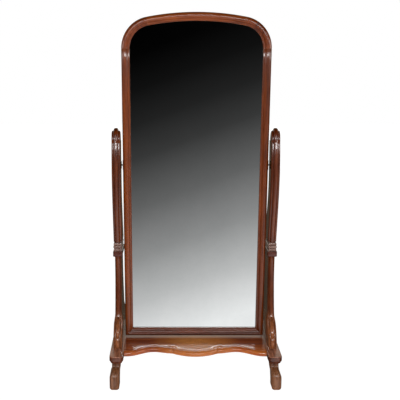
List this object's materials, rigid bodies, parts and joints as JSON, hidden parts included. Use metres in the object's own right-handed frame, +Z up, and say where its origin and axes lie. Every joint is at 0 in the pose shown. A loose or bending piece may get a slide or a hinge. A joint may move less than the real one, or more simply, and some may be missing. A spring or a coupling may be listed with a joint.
{
  "type": "cheval floor mirror",
  "caption": "Free-standing full-length mirror: arched moulded mahogany frame tilting between scrolled uprights on a serpentine platform with scroll feet.",
  "frame": {"origin": "on the floor, at the centre of the four feet, below the middle of the mirror", "axes": "+Z up; +X to the viewer's right when facing the glass; +Y from the glass towards the back"},
  "size_m": [0.798, 0.4608, 1.709],
  "materials": {
    "frame_mahogany": "French-polished red-brown mahogany, high gloss",
    "stand_mahogany": "French-polished red-brown mahogany, high gloss, worn edges",
    "platform_mahogany": "figured orange-brown mahogany, French polished",
    "back_mahogany": "plain mahogany, thinly polished",
    "silvered_plate": "silvered plate glass",
    "softwood": "sawn pine",
    "beech_dowels": "turned beech",
    "brass": "aged brass, dark patina",
    "steel_screws": "dull iron wood screws",
    "leather": "dark vegetable-tanned leather"
  },
  "bodies": {
    "stand": {"socket_plate_left": "brass", "socket_plate_right": "brass", "socket_plate_screws": "steel_screws", "scroll_cap_left": "stand_mahogany", "scroll_cap_right": "stand_mahogany", "upper_scroll_left": "stand_mahogany", "upper_scroll_right": "stand_mahogany", "collar_left": "stand_mahogany", "collar_right": "stand_mahogany", "lower_scroll_left": "stand_mahogany", "lower_scroll_right": "stand_mahogany", "cap_dowels": "beech_dowels", "collar_dowels": "beech_dowels", "upright_dowels": "beech_dowels", "end_block_left": "stand_mahogany", "end_block_right": "stand_mahogany", "platform": "platform_mahogany", "platform_dowels": "beech_dowels", "front_leg_left": "stand_mahogany", "front_leg_right": "stand_mahogany", "rear_leg_left": "stand_mahogany", "rear_leg_right": "stand_mahogany", "leg_dowels": "beech_dowels"},
    "mirror_frame": {"stile_left": "frame_mahogany", "stile_right": "frame_mahogany", "shoulder_left": "frame_mahogany", "shoulder_right": "frame_mahogany", "crown_rail": "frame_mahogany", "bottom_rail": "frame_mahogany", "frame_dowels": "beech_dowels", "mitre_dowels": "beech_dowels", "mirror_plate": "silvered_plate", "plate_wedges": "softwood", "back_stile_left": "back_mahogany", "back_stile_right": "back_mahogany", "back_top_rail": "back_mahogany", "back_mid_rail": "back_mahogany", "back_bottom_rail": "back_mahogany", "back_panel_upper": "back_mahogany", "back_panel_lower": "back_mahogany", "back_screws": "steel_screws", "frame_plate_left": "brass", "frame_plate_right": "brass", "frame_plate_screws": "steel_screws", "pivot_pin_left": "brass", "pivot_pin_right": "brass", "friction_washer_left": "leather", "friction_washer_right": "leather"}
  },
  "joints": [
    {"name": "frame_tilt", "type": "hinge", "parent": "stand", "child": "mirror_frame", "pos_m": [0, 0, 1.023], "axis": [1, 0, 0], "range_deg": [-45, 45]}
  ]
}
